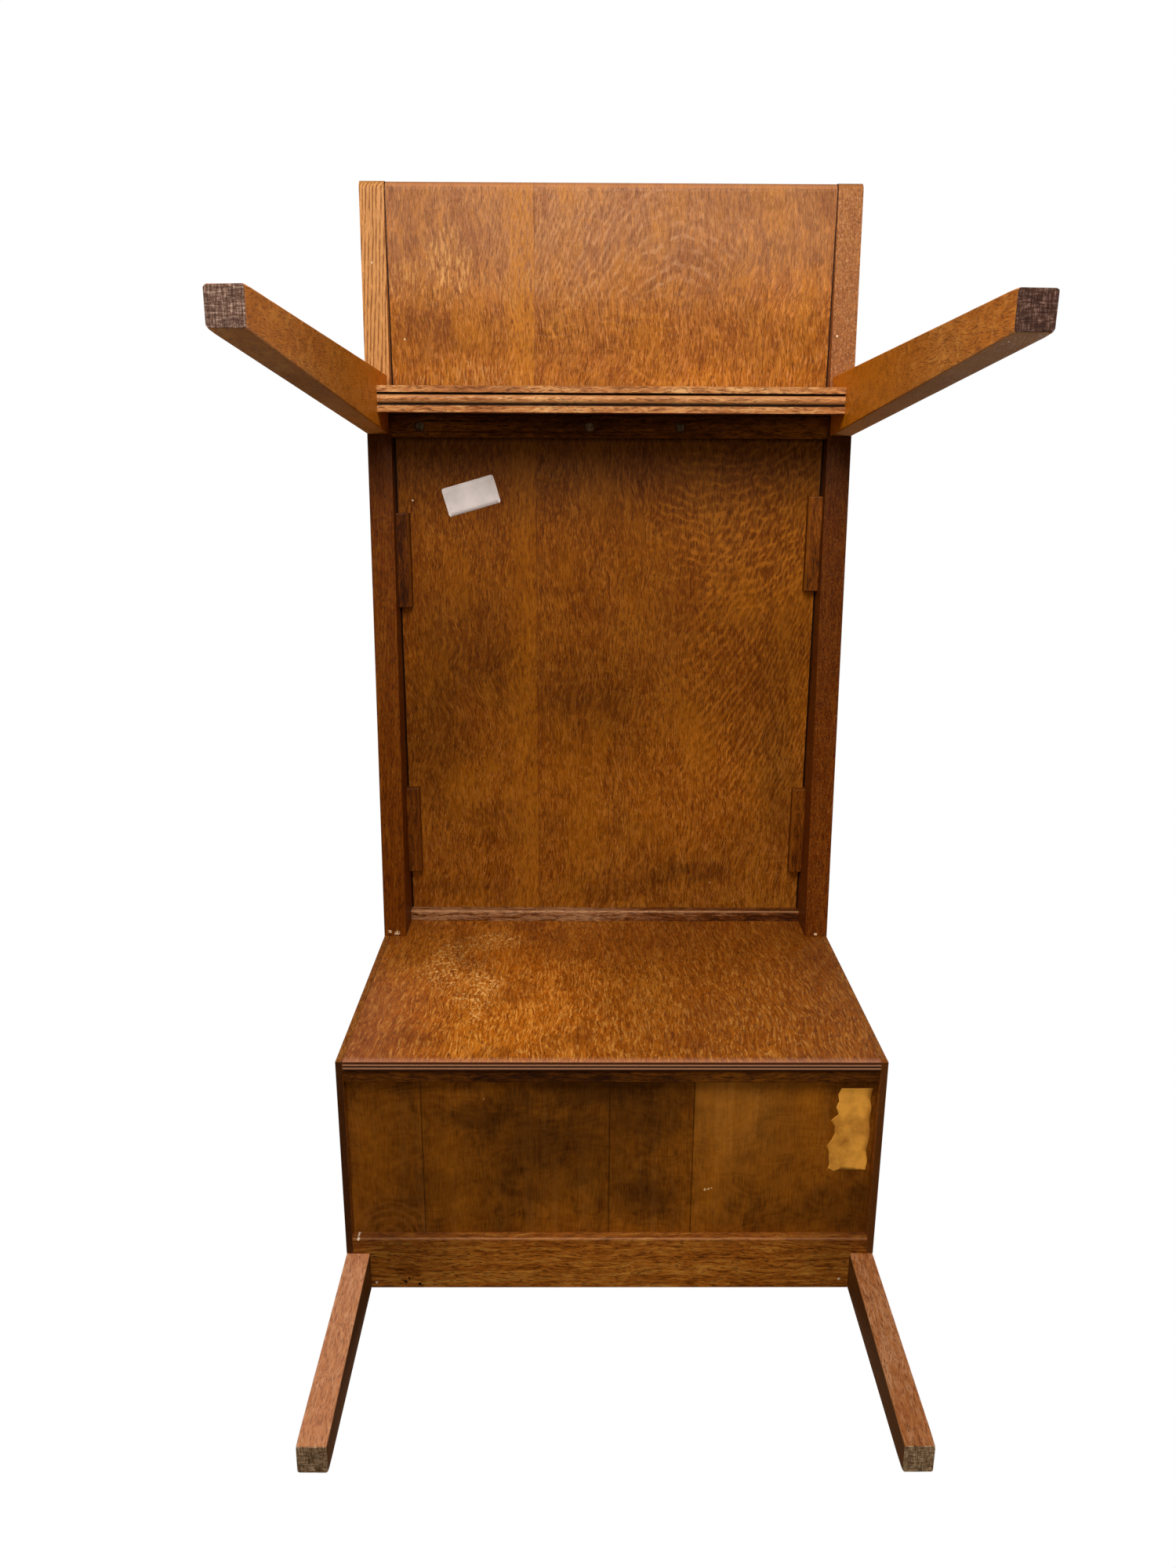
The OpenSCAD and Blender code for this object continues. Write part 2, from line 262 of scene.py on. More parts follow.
def from_centre(graph, first, second, centre, size):
    """How far two coordinates are from a centre, each as a share of its own size."""
    u = graph.math("DIVIDE", graph.minus(first, centre[0]), size[0])
    v = graph.math("DIVIDE", graph.minus(second, centre[1]), size[1])
    return u, v


def patch_mask(graph, centre, size, plane="XY", ragged=0.35):
    """1 inside a soft ragged ellipse round a place on the frame, 0 outside."""
    place = graph.place()
    stir = graph.grain(graph.scaled(place, (22, 22, 22)), detail=3, rough=0.6).outputs[1]
    lean = graph.node("ShaderNodeVectorMath", {0: stir, 1: (0.5, 0.5, 0.5)}, operation="SUBTRACT")
    x, y, z = graph.split(graph.add_vectors(place, lean.outputs[0], 0.9 * max(size)))
    first, second = {"XY": (x, y), "YZ": (y, z)}[plane]
    reach = graph.length(*from_centre(graph, first, second, centre, size))
    wander = graph.noise(place, (90, 140, 90), 4, 0.7)
    reach = graph.plus(reach, graph.line(wander, 4 * ragged, -2 * ragged))
    return graph.step(reach, 1.15, 0.45)


def shift(graph, colour, centre, size, factor, plane="XY"):
    """The colour, brighter or darker by a factor inside one soft patch."""
    mask = patch_mask(graph, centre, size, plane, 0.2)
    return graph.mix(mask, colour, (factor, factor, factor, 1.0), "MULTIPLY")


def specks(graph, colour, spots, shade):
    """Small chips, crumbs and dents, each an X, a Y and a size in millimetres."""
    place = graph.place()
    stir = graph.noise(place, (500, 500, 500), 2)
    x, y, _ = graph.split(place)
    for across, along_y, size in spots:
        away = graph.length(graph.minus(x, across), graph.minus(y, along_y))
        away = graph.line(stir, -2.4 * size * MM, graph.plus(away, 1.2 * size * MM))
        mask = graph.step(away, 0.9 * size * MM, 0.5 * size * MM)
        colour = graph.mix(mask, colour, tone(shade))
    return colour


def arches(graph, colour, peak, steepness, spacing, centre, size, shade, amount):
    """Ray flecks that run as nested arches, inside one soft-edged patch.

    peak is the Y of the arches' crowns, steepness bends them and spacing parts them.
    """
    x, y, _ = graph.split(graph.place())
    away = graph.minus(y, peak)
    bow = graph.times(graph.times(away, away), steepness)
    stir = graph.noise(graph.place(), (26, 34, 30), 3)
    phase = graph.plus(graph.minus(x, bow), graph.times(stir, 0.035))
    wave = graph.wave(phase, spacing)
    broken = graph.noise(graph.place(), (60, 90, 60), 3, 0.6)
    line = graph.times(graph.step(wave, 0.1, 0.95), graph.step(broken, 0.4, 0.6))
    trough = graph.times(graph.step(wave, -0.2, -0.95), graph.step(broken, 0.6, 0.42))
    marked = graph.tint(colour, trough, 0.6 * amount, "6e3408")
    marked = graph.tint(marked, line, amount, shade)
    u, v = from_centre(graph, x, y, centre, size)
    reach = graph.plus(graph.times(u, u), graph.times(v, v))
    inside = graph.step(reach, 1.1, 0.35)
    return graph.mix(inside, colour, marked)


# ---- materials ----


def oak(
    name, axis, dark, mid, light, seed,
    dashes=1.5, streaks=0.4, clouds=1.2, flecks=0.5, edge="c98f5c", gloss=0.42, shade=None,
):
    """Waxed oak: short dashes and open pores along the grain, ray flecks across it.

    shade is an optional function that takes the graph and the colour and gives the
    colour with the marks of one part of the desk added.
    """
    graph = Graph(name, Specular_IOR_Level=0.2)
    place = graph.scaled(along(graph, axis), (1, 1, 1), (seed, seed * 0.7, seed * 1.3))
    place = graph.bent(place, (14, 11, 11), 0.016, detail=3)
    dash = graph.noise(place, (44, 310, 310), 4, 0.75)
    streak = graph.noise(place, (3.5, 190, 190), 4, 0.6)
    cloud = graph.noise(place, (6, 11, 11), 5, 0.62)
    body = graph.line(dash, dashes, 0.5 - dashes / 2)
    body = graph.plus(body, graph.line(streak, streaks, -streaks / 2))
    body = graph.math("ADD", body, graph.line(cloud, clouds, -clouds / 2), clamp=True)
    colour = graph.ramp(body, (0.2, tone(dark)), (0.5, tone(mid)), (0.8, tone(light)))

    ray = graph.noise(graph.bent(place, (10, 7, 7), 0.11), (105, 20, 20), 2.5)
    patch = graph.step(graph.noise(place, (4, 7, 7), move=(7, 1, 3)), 0.4, 0.6)
    fleck = graph.times(graph.step(ray, 0.5, 0.66), patch)
    colour = graph.tint(colour, fleck, flecks, light)

    pore = graph.step(graph.noise(place, (85, 850, 850), 2, 0.6), 0.54, 0.62)
    deep = graph.mix(0.6, tone(dark), (0.0, 0.0, 0.0, 1.0))
    colour = graph.mix(graph.times(pore, 0.7), colour, deep)
    colour = graph.tint(colour, worn_edge(graph), 0.4, edge)
    if shade:
        colour = shade(graph, colour)
    rough = graph.plus(graph.line(cloud, 0.25, gloss - 0.12), graph.times(pore, 0.15))
    height = graph.line(fleck, 0.3, graph.line(pore, -0.5, graph.times(dash, 0.9)))
    return graph.finish(colour, rough, height)


def ply(name, dark, mid, light, seed, shade=None):
    """Stained rotary-cut plywood: broad soft figure, small pores, dull finish."""
    graph = Graph(name, Specular_IOR_Level=0.2)
    place = graph.scaled(along(graph, "X"), (1, 1, 1), (seed, seed, seed))
    figure = graph.noise(graph.bent(place, (5, 9, 9), 0.05), (7, 17, 17), 5, 0.55)
    fibre = graph.noise(place, (60, 700, 700), 3, 0.7)
    mottle = graph.noise(place, (45, 45, 45), 4, 0.65)
    body = graph.line(figure, 0.8, graph.line(fibre, 0.7, -0.35))
    body = graph.math("ADD", body, graph.line(mottle, 0.5, -0.25), clamp=True)
    colour = graph.ramp(body, (0.2, tone(dark)), (0.5, tone(mid)), (0.8, tone(light)))
    grime = graph.noise(place, (9, 9, 9), 5, 0.6, move=(2, 5, 1))
    colour = graph.tint(colour, graph.step(grime, 0.5, 0.75), 0.5, dark)
    if shade:
        colour = shade(graph, colour)
    rough = graph.line(mottle, 0.2, 0.42)
    return graph.finish(colour, rough, graph.plus(fibre, figure), strength=0.4)


def end_grain(name, dark, mid, light):
    """Worn oak end grain: grey-brown, with rings, open pores and trodden dirt."""
    graph = Graph(name, Specular_IOR_Level=0.2)
    place = graph.place()
    rings = graph.noise(place, (620, 110, 60), 3, 0.65)
    rays = graph.noise(place, (110, 640, 60), 3, 0.65, move=(1, 2, 3))
    pits = graph.noise(place, (900, 900, 900), 3, 0.7)
    dirt = graph.noise(place, (90, 90, 90), 5, 0.65)
    body = graph.line(rays, 0.4, graph.times(pits, 0.2))
    body = graph.line(rings, 0.4, body)
    colour = graph.ramp(body, (0.38, tone(dark)), (0.5, tone(mid)), (0.64, tone(light)))
    colour = graph.tint(colour, graph.step(dirt, 0.46, 0.66), 0.6, dark)
    return graph.finish(colour, graph.line(dirt, 0.2, 0.65), body, 0.001, 0.8)


def metal(name, colour, dull, rough, purity):
    """Old metal, stained and finely scratched. purity is how much it mirrors."""
    graph = Graph(name, Metallic=purity)
    place = graph.place()
    stain = graph.noise(place, (260, 260, 260), 5, 0.65)
    scratch = graph.noise(place, (2500, 300, 2500), 3, 0.7)
    shade = graph.ramp(stain, (0.35, tone(dull)), (0.65, tone(colour)))
    shade = graph.tint(shade, scratch, 0.3, dull)
    rough = graph.line(stain, 0.25, rough)
    return graph.finish(shade, rough, scratch, 0.0002, 0.3)


def paper(name, light, dark, fade):
    """Old paper, clouded, and darker by an amount, fade, along its creases."""
    graph = Graph(name, Specular_IOR_Level=0.25)
    place = graph.place()
    cloud = graph.noise(place, (28, 28, 28), 5, 0.6)
    fibre = graph.noise(place, (1400, 500, 900), 3, 0.7)
    crease = graph.noise(place, (90, 25, 90), 4, 0.7)
    shade = graph.ramp(cloud, (0.36, tone(dark)), (0.6, tone(light)))
    shade = graph.tint(shade, graph.step(crease, 0.6, 0.7), fade, dark)
    height = graph.line(crease, 0.8, graph.times(fibre, 0.2))
    return graph.finish(shade, graph.line(cloud, 0.1, 0.7), height, 0.0004)


# ---- the marks of each part ----


def kneehole_painted_shade(graph, colour, stain, painted_light_near_wall=0.0):
    """Painted shade: browner from the rail to the pedestal, darkest close behind the rail,
    where the rail's painted shadow falls on old grime.

    The wood is multiplied by the stain colour, which here is painted shade, and the
    last argument is how much of it fades away by the wall, as painted light.
    """
    x = graph.split(graph.place())[0]
    inside = graph.step(x, RAIL_X - 0.02, RAIL_X + 0.03)
    # painted light: the painted shade fades towards the wall
    lit_near_wall = graph.times(graph.step(x, RAIL_X + 0.25, WALL_X), painted_light_near_wall)
    inside = graph.times(inside, graph.minus(1.0, lit_near_wall))
    colour = graph.mix(inside, colour, tone(stain), "MULTIPLY")
    # painted shadow of the rail, over old grime, close behind it
    close = graph.step(x, RAIL_X, RAIL_X + 0.04)
    close = graph.times(close, graph.step(x, RAIL_X + 0.21, RAIL_X + 0.05))
    return graph.tint(colour, close, 0.55, "160a02")


def straight_lines(graph, colour):
    """The close, straight, dark growth lines of the back side board."""
    place = graph.place()
    y, z = graph.split(place)[1:3]
    drift = graph.noise(place, (4, 40, 40), 3, 0.6)
    wave = graph.wave(graph.line(drift, 0.011, graph.line(z, 0.83, y)), GROWTH_LINE)
    broken = graph.noise(place, (36, 420, 420), 3, 0.6)
    line = graph.times(graph.step(wave, -0.1, 0.9), graph.step(broken, 0.36, 0.52))
    line = graph.times(line, graph.line(overhang(graph), 0.45, 0.4))
    return graph.mix(line, colour, tone("78400f"))


def board_shade(graph, plain, marked, stain):
    """A side board's lower edge: as marked, with painted shade in the kneehole, chipped by the
    wall.
    """
    # painted shade in the kneehole, in the stain colour
    marked = kneehole_painted_shade(graph, marked, stain)
    chips = ((WALL_X - 0.004, 0.297, 4), (WALL_X - 0.006, 0.307, 3), (WALL_X - 0.003, -0.299, 3))
    chips += ((-0.475, -0.290, 2.0), (-0.56, 0.302, 1.6))
    return hidden_side(graph, specks(graph, marked, chips, "e8c49c"), plain)


def back_board_shade(graph, colour):
    """The back board: painted light at the free end, with straight dark growth lines."""
    # painted light: paler and yellower at the free end, where it is lit more
    marked = graph.tint(colour, overhang(graph), 0.55, "e0a262")
    return board_shade(graph, colour, straight_lines(graph, marked), "b49a57")


def front_board_shade(graph, colour):
    """The front board: a duller brown, closely freckled, with a painted pinkish sheen at the free
    end and a painted shadow behind the rail.
    """
    # painted sheen: pinker at the free end
    marked = graph.tint(colour, overhang(graph), 0.55, "a06640")
    place = graph.place()
    freckle = graph.noise(place, (300, 420, 420), 3, 0.7)
    marked = graph.tint(marked, graph.step(freckle, 0.5, 0.6), 0.5, "643418")
    pale = graph.noise(place, (360, 420, 420), 2, move=(2, 7, 1))
    marked = graph.tint(marked, graph.step(pale, 0.58, 0.66), 0.5, "d09a6c")
    x = graph.split(place)[0]
    # painted shadow behind the rail, fading towards the pedestal
    shadow = graph.times(graph.step(x, 0.2, -0.2), graph.minus(1.0, overhang(graph)))
    marked = graph.tint(marked, shadow, 0.3, "2c1608")
    return board_shade(graph, colour, marked, "bca06c")


def fine_flecks(graph, colour):
    """Thin pale ray flecks, leaning a little off the grain, and dark dashes between."""
    lean = lengthways(graph)
    pale = graph.noise(lean, (95, 480, 95), 2, 0.55)
    colour = graph.tint(colour, graph.step(pale, 0.52, 0.64), 0.7, "c98242")
    dark = graph.noise(lean, (70, 560, 70), 3, 0.65, move=(1, 4, 2))
    return graph.tint(colour, graph.step(dark, 0.52, 0.64), 0.65, "5c2a04")


def top_shade(graph, colour):
    """The top's underside: a painted pinkish sheen at the free end, and painted shade that turns it
    deep brown in the kneehole.
    """
    plain = colour
    place = graph.place()
    x, y, _ = graph.split(place)
    colour = fine_flecks(graph, colour)
    for peak, steepness, spacing, centre, size, shade, amount in (
        (-0.088, 8.0, 0.016, (-0.585, 0.0), (0.075, 0.2), "d8a070", 0.45),
        (-0.15, -3.5, 0.013, (-0.245, -0.20), (0.15, 0.16), "dc8c38", 0.6),
        (-0.05, -6.5, 0.016, (-0.07, -0.22), (0.28, 0.13), "d88834", 0.65),
    ):
        colour = arches(graph, colour, peak, steepness, spacing, centre, size, shade, amount)
    uneven = graph.noise(place, (30, 60, 30), 4, 0.7)
    # painted sheen: a pale pinkish veil over the free end
    painted_sheen = graph.step(graph.line(uneven, 0.09, x), -0.43, -0.55)
    colour = graph.tint(colour, painted_sheen, 0.36, "a87b5c")
    short = graph.step(graph.noise(place, (60, 260, 60), 3, 0.7, move=(0, 3, 0)), 0.38, 0.56)
    for centre, size, shade, amount in (  # old stains
        ((-0.478, 0.232), (0.045, 0.055), "6a3410", 0.5),
        ((0.262, -0.115), (0.02, 0.08), "2c1202", 0.5),
        ((0.285, -0.02), (0.02, 0.10), "4a2204", 0.4),
        ((0.285, 0.21), (0.018, 0.08), "3c1a04", 0.35),
        ((0.19, 0.13), (0.04, 0.09), "4a2204", 0.25),
        ((-0.08, 0.19), (0.08, 0.08), "4c2404", 0.4),
        ((0.02, 0.02), (0.05, 0.08), "4c2404", 0.35),
        ((-0.03, -0.24), (0.10, 0.04), "4c2404", 0.3),
    ):
        mask = patch_mask(graph, centre, size, ragged=0.25)
        mask = graph.times(mask, graph.line(short, 0.6, 0.4))
        colour = graph.tint(colour, mask, amount, shade)
    bright = graph.step(graph.noise(place, (75, 330, 75), 3, 0.65, move=(6, 2, 3)), 0.48, 0.62)
    for centre, size, amount in (  # bright flecks
        ((-0.560, 0.205), (0.050, 0.032), 0.6),
        ((-0.540, 0.262), (0.030, 0.028), 0.45),
        ((-0.530, 0.10), (0.018, 0.10), 0.3),
        ((-0.420, 0.17), (0.022, 0.10), 0.3),
    ):
        mask = graph.times(patch_mask(graph, centre, size, ragged=0.5), bright)
        colour = graph.tint(colour, mask, amount, "e6ac66")
    mottle = graph.noise(lengthways(graph), (34, 150, 60), 4, 0.65, move=(2, 5, 3))
    colour = graph.tint(colour, graph.step(mottle, 0.5, 0.66), 0.3, "cc8230")
    colour = graph.tint(colour, graph.step(mottle, 0.5, 0.36), 0.3, "6c3408")
    for centre, size, factor in (  # broad darker and brighter patches
        ((0.06, 0.245), (0.15, 0.055), 0.72),
        ((-0.02, 0.10), (0.06, 0.17), 0.84),
        ((0.13, -0.12), (0.11, 0.10), 1.26),
        ((0.14, 0.05), (0.06, 0.12), 1.1),
        ((0.12, -0.25), (0.10, 0.03), 0.8),
        ((-0.53, -0.23), (0.04, 0.07), 1.2),
        ((-0.41, -0.17), (0.03, 0.16), 1.18),
        ((-0.47, 0.10), (0.028, 0.22), 0.88),
        ((-0.605, -0.2), (0.03, 0.12), 1.1),
    ):
        colour = shift(graph, colour, centre, size, factor)
    hue = graph.noise(place, (6, 13, 6), 4, 0.6, move=(4, 4, 1))
    colour = graph.tint(colour, graph.step(hue, 0.5, 0.68), 0.3, "bc7412")
    colour = graph.tint(colour, graph.step(hue, 0.5, 0.34), 0.25, "7c3c14")
    band = graph.step(y, SEAM_Y + 0.05, SEAM_Y + 0.018)
    band = graph.times(graph.times(band, graph.step(y, SEAM_Y, SEAM_Y + 0.001)), short)
    colour = graph.tint(colour, band, 0.5, "c47c1e")
    # painted shade in the kneehole
    colour = kneehole_painted_shade(graph, colour, "ccbf86", 0.45)
    chips = ((0.277, -0.154, 1.4), (-0.268, 0.262, 1.4), (-0.47, 0.265, 1.3))
    colour = specks(graph, colour, chips, "f0d8b4")
    return hidden_side(graph, top_edges(graph, colour), plain)


def top_edges(graph, colour):
    """The top's nose with a painted highlight, the dark gaps along the side boards, and its planks'
    seam.
    """
    x, y, _ = graph.split(graph.place())
    # painted highlight along the rounded nose
    nose_highlight = graph.step(x, FREE_X + 0.0074, FREE_X + 0.0062)
    colour = graph.tint(colour, nose_highlight, 0.45, "c08058")
    half = (BOARD_Y - FRONT_Y) / 2
    gap_start = graph.line(graph.minus(x, FREE_X), -0.004, half - 0.0012)
    gap_start = graph.larger(gap_start, half - 0.0024)
    middle = graph.apart(y, (BOARD_Y + FRONT_Y) / 2)
    gap = graph.step(middle, gap_start, graph.plus(gap_start, 0.0006))
    colour = graph.mix(gap, colour, tone("140802"))
    seam = graph.step(graph.apart(y, SEAM_Y), 0.0012, 0.0003)
    return graph.tint(colour, seam, 0.3, "5a2e08")


def wall_shade(graph, colour):
    """The inner wall: short vertical flecks, kicks and pale scuffs by the knees, with a painted
    sheen low on the back side, painted shade by the front edge and a painted highlight
    along the lower arris.
    """
    place = graph.place()
    y, z = graph.split(place)[1:3]
    tilt = graph.bent(place, (9, 9, 9), 0.03)
    fleck = graph.step(graph.noise(tilt, (380, 380, 52), 2.5, 0.55), 0.54, 0.62)
    more_below = graph.line(graph.step(z, 0.62, 0.35), 0.4, 0.45)
    colour = graph.tint(colour, fleck, more_below, "dc9440")
    long = graph.noise(tilt, (270, 270, 26), 3, 0.6, move=(2, 2, 7))
    colour = graph.tint(colour, graph.step(long, 0.53, 0.62), 0.35, "dc9038")
    colour = graph.tint(colour, graph.step(long, 0.47, 0.38), 0.42, "743404")
    scuff = graph.step(graph.noise(place, (240, 240, 150), 4, 0.75, move=(3, 1, 2)), 0.52, 0.6)
    for centre, size in (
        ((0.215, 0.52), (0.035, 0.09)),
        ((0.165, 0.44), (0.03, 0.10)),
        ((0.16, 0.60), (0.05, 0.03)),
    ):
        colour = graph.tint(colour, patch_mask(graph, centre, size, "YZ", 0.5), scuff, "ecb468")
    dark = graph.noise(tilt, (420, 420, 70), 3, 0.6, move=(5, 2, 1))
    colour = graph.tint(colour, graph.step(dark, 0.54, 0.64), 0.45, "5a2806")
    colour = shift(graph, colour, (0.15, 0.46), (0.15, 0.26), 1.3, "YZ")
    colour = shift(graph, colour, (-0.12, 0.44), (0.17, 0.26), 0.84, "YZ")
    # painted shade towards the front edge
    colour = graph.tint(colour, graph.step(y, -0.2, -0.31), 0.25, "5c2c14")
    # painted sheen: pinker low on the back side
    painted_wall_sheen = graph.times(graph.step(y, 0.17, 0.3), graph.step(z, 0.56, 0.4))
    colour = graph.tint(colour, painted_wall_sheen, 0.3, "b0684a")
    deep = graph.noise(place, (14, 14, 9), 4, 0.65, move=(1, 6, 2))
    colour = graph.tint(colour, graph.step(deep, 0.48, 0.66), 0.45, "6c2e08")
    colour = graph.tint(colour, graph.step(z, 0.42, 0.62), 0.3, "4a2404")
    # painted highlight along the lower arris
    colour = graph.tint(colour, graph.step(z, 0.272, 0.26), 0.35, "e0a58a")
    return plies(graph, colour)


def plies(graph, colour):
    """The layers of the plywood, seen on its edges that face the floor."""
    x = graph.split(graph.place())[0]
    down = graph.step(graph.split(graph.normal())[2], -0.75, -0.95)
    depth = graph.math("DIVIDE", graph.minus(x, WALL_X), WALL_BACK_X - WALL_X)
    layers = (
        (0.0, "6a3518"), (0.24, "3a1c0c"), (0.3, "c08a68"),
        (0.4, "b07a58"), (0.46, "30160a"), (0.58, "3a1c0c"),
        (0.64, "b8866a"), (0.76, "a87452"), (0.82, "301608"),
    )
    return graph.mix(down, colour, graph.ramp(depth, *((at, tone(code)) for at, code in layers)))


def side_shade(graph, colour):
    """The side panels' lower edges, dark with old stain, the back one most."""
    down = graph.step(graph.split(graph.normal())[2], -0.5, -0.9)
    back = graph.math("GREATER_THAN", graph.split(graph.place())[1], 0.0)
    stain = graph.mix(back, tone("583012"), tone("34190a"))
    return graph.mix(graph.times(down, 0.9), colour, stain)


def panel_shade(graph, colour):
    """The bottom panel: four veneers, one of them paler, and old damp stains."""
    low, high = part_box("bottom_panel")
    place = graph.place()
    x, y, _ = graph.split(place)
    length = high.x - low.x
    rings = graph.noise(graph.bent(place, (7, 5, 7), 0.16), (34, 15, 34), 4)
    rings = graph.math("SINE", graph.times(rings, 42.0))
    colour = graph.mix(graph.line(rings, 0.05, 0.05), colour, tone("b87628"))
    pale = graph.times(graph.step(y, -0.0965, -0.0975), graph.step(y, -0.26, -0.13))
    pale = graph.times(pale, graph.step(x, high.x, low.x + 0.02))
    colour = graph.tint(colour, pale, 0.3, "bc7828")
    strips = graph.noise(place, (3, 110, 3), 3, 0.6)
    glow = patch_mask(graph, (low.x + 0.25 * length, -0.14), (0.07, 0.045), ragged=0.5)
    glow = graph.times(glow, graph.step(strips, 0.36, 0.6))
    colour = graph.tint(colour, glow, 0.25, "b8742a")
    colour = graph.tint(colour, graph.step(strips, 0.5, 0.75), 0.2, "96602a")
    reach = graph.length(graph.minus(x, high.x + 0.004), graph.minus(y, 0.262))
    reach = graph.line(graph.noise(place, (30, 30, 30)), 0.02, reach)
    knot = graph.step(graph.wave(reach, 0.0105), -0.2, 0.95)
    knot = graph.times(knot, graph.step(reach, 0.075, 0.045))
    colour = graph.tint(colour, knot, 0.24, "9c6028")
    for part, across, long, wide, amount in (  # damp stains
        (0.20, 0.12, 0.015, 0.0375, 0.341),
        (0.30, 0.155, 0.0225, 0.04375, 0.434),
        (0.42, 0.10, 0.04375, 0.06875, 0.372),
        (0.22, -0.04, 0.0625, 0.0625, 0.372),
        (0.35, 0.02, 0.0875, 0.0625, 0.279),
        (0.10, 0.02, 0.0375, 0.06875, 0.434),
        (0.62, 0.10, 0.0375, 0.1, 0.186),
        (0.80, -0.03, 0.025, 0.05625, 0.279),
        (0.72, 0.215, 0.0275, 0.04375, 0.248),
        (0.85, -0.27, 0.0375, 0.075, 0.31),
    ):
        mask = patch_mask(graph, (low.x + part * length, across), (long, wide), ragged=0.25)
        colour = graph.tint(colour, mask, amount, "2a1404")
    for part, across, long, wide, factor in (  # brighter patches
        (0.55, -0.19, 0.14, 0.14, 1.3),
        (0.9, -0.02, 0.035, 0.13, 1.3),
        (0.9, 0.08, 0.03, 0.06, 1.15),
        (0.1, 0.17, 0.03, 0.06, 1.2),
    ):
        colour = shift(graph, colour, (low.x + part * length, across), (long, wide), factor)
    for seam in VENEER_SEAMS:
        line = graph.step(graph.apart(y, seam), 0.0013, 0.0003)
        colour = graph.tint(colour, line, 0.6, "2a1402")
    scratches = (
        (0.508, -0.112, 2.0), (0.507, -0.116, 2.0), (0.506, -0.120, 1.4), (0.387, 0.148, 1.4),
    )
    return specks(graph, colour, scratches, "e8c088")


def short_leg_shade(graph, colour):
    """The short legs: painted light on the faces towards the kneehole, and painted shade on those
    towards each other.
    """
    # the faces towards the kneehole, where light is painted
    worn = graph.step(graph.split(graph.normal())[0], -0.3, -0.8)
    front = graph.math("LESS_THAN", graph.split(graph.place())[1], 0.0)
    # painted light from the back side: pinker on the back leg, darker on the front one
    painted_side_light = graph.mix(front, tone("f0a88c"), tone("7a3c20"))
    painted_side_light = graph.mix(graph.line(front, 0.1, 0.25), colour, painted_side_light)
    colour = graph.mix(worn, graph.mix(0.5, colour, tone("965818")), painted_side_light)
    # painted shade on the faces that look at each other
    return graph.tint(colour, graph.step(outward(graph), -0.5, -0.9), 0.85, "5a340e")


def tall_leg_shade(graph, colour):
    """The tall legs: painted light, yellower up high on the faces towards each other and the
    kneehole, and painted shade on the faces towards the kneehole, the front leg's most.
    """
    place_y, height = graph.split(graph.place())[1:3]
    kneehole = graph.step(graph.split(graph.normal())[0], 0.5, 0.9)
    inner = graph.step(outward(graph), -0.5, -0.9)
    # painted light: brighter and yellower up high
    painted_light = graph.line(graph.larger(inner, kneehole), 0.68, 0.12)
    painted_light = graph.times(painted_light, graph.step(height, 0.2, 0.55))
    colour = graph.mix(painted_light, colour, tone("ea8a0c"))
    ripple = graph.noise(graph.place(), (60, 60, 34), 3, move=(3, 1, 4), distortion=1.5)
    colour = graph.tint(colour, graph.step(ripple, 0.5, 0.62), 0.35, "8a4a10")
    colour = graph.tint(colour, graph.step(ripple, 0.46, 0.36), 0.3, "dc9440")
    # painted shade on the faces towards the kneehole, stronger on the front leg
    back = graph.math("GREATER_THAN", place_y, 0.0)
    return graph.tint(colour, kneehole, graph.line(back, -0.22, 0.62), "865a22")


def reed_shade(graph, colour):
    """The reeded rail's two grooves, darkened to near black."""
    low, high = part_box("reeded_rail")
    x, _, z = graph.split(graph.place())
    away = graph.apart(x, (low.x + high.x) / 2)
    groove = graph.step(graph.apart(away, 0.0065), 0.0017, 0.0009)
    edge = graph.step(z, low.z + 0.012, low.z + 0.004)
    return graph.tint(colour, groove, edge, "120602")


def rail_shade(graph, colour):
    """The flat bottom rail: a nail near each end, a few dents and a chipped arris."""
    low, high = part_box("bottom_rail")
    x, y, _ = graph.split(graph.place())
    ends = graph.larger(graph.step(y, 0.13, 0.26), graph.times(graph.step(y, -0.2, -0.27), 0.7))
    inner_half = graph.line(graph.step(x, high.x - 0.015, low.x + 0.01), 0.15, 0.3)
    colour = graph.tint(colour, ends, inner_half, "1c0c02")
    colour = shift(graph, colour, (low.x + 0.02, -0.03), (0.05, 0.2), 1.14)
    lip = graph.step(x, low.x + 0.007, low.x + 0.004)
    colour = graph.tint(colour, lip, 0.3, "6a3818")
    end = high.x
    dents = ((end - 0.008, 0.246, 2.6), (end - 0.013, 0.241, 2.2), (end - 0.005, 0.229, 2.4))
    colour = specks(graph, colour, dents, "140a04")
    nails = ((end - 0.007, 0.281, 1.8), (end - 0.012, -0.276, 1.8), (low.x + 0.001, 0.300, 2.0))
    return specks(graph, colour, nails, "e0c8b0")


# ---- pieces ----


def dress(node, material, bevel):
    """Gives a CAD node its material, and eases its arrises."""
    shown = NODES[node]
    shown.data.materials.clear()
    shown.data.materials.append(material)
    weld = shown.modifiers.new("weld", "WELD")
    weld.merge_threshold = 1e-5
    ease = shown.modifiers.new("ease", "BEVEL")
    ease.width = bevel
    ease.segments = 2
    ease.limit_method = "ANGLE"
    ease.angle_limit = math.radians(35)
    ease.harden_normals = False
    shown.modifiers.new("normals", "WEIGHTED_NORMAL").keep_sharp = True


def solid(name, bm):
    """A new object in the scene from a finished bmesh, which is freed."""
    mesh = bpy.data.meshes.new(name)
    bm.to_mesh(mesh)
    bm.free()
    piece = bpy.data.objects.new(name, mesh)
    bpy.context.scene.collection.objects.link(piece)
    return piece


